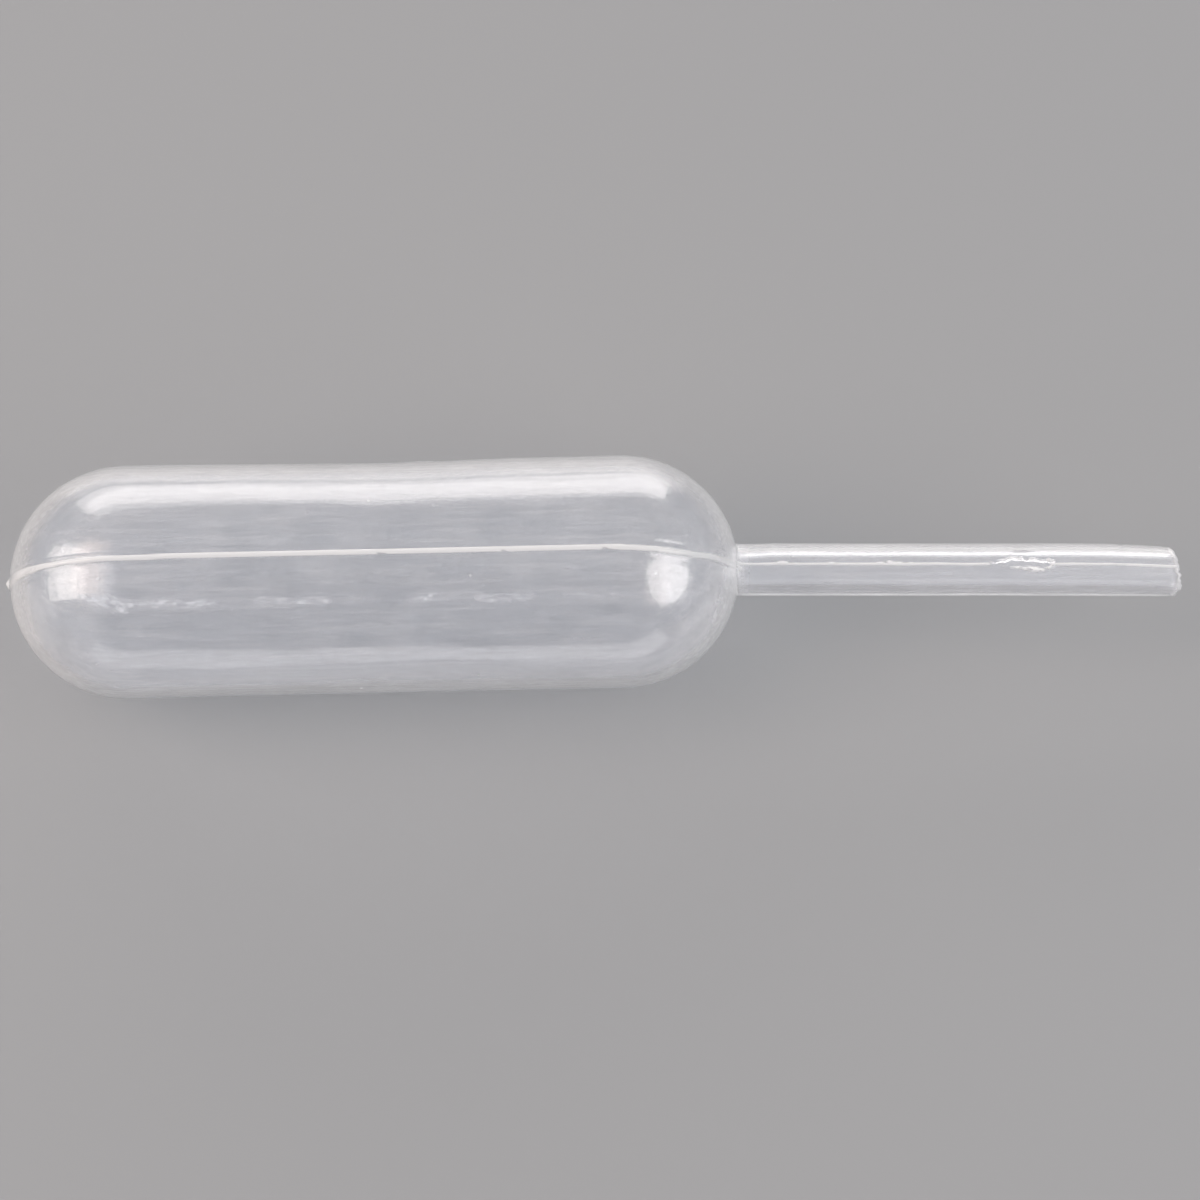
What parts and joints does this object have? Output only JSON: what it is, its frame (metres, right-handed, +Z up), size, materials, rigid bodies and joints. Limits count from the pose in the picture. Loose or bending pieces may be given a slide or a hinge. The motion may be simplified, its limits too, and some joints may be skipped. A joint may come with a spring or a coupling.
{
  "type": "dropper pipette",
  "caption": "One-piece translucent squeeze dropper: a long capsule-shaped bulb with a thin open stem, for drawing up and dripping small amounts of liquid.",
  "frame": {"origin": "middle of the underside of the bounding box, on the surface the bulb lies on", "axes": "+X along the bulb towards the open tip, +Z up, +Y to the left of +X; the stem is set 1.15 degrees towards -Y and hangs 0.5 degrees"},
  "size_m": [0.0654, 0.013, 0.0128],
  "materials": {
    "natural_polyethylene": "satin, milky translucent"
  },
  "bodies": {
    "root": {"pipette": "natural_polyethylene"}
  },
  "joints": []
}
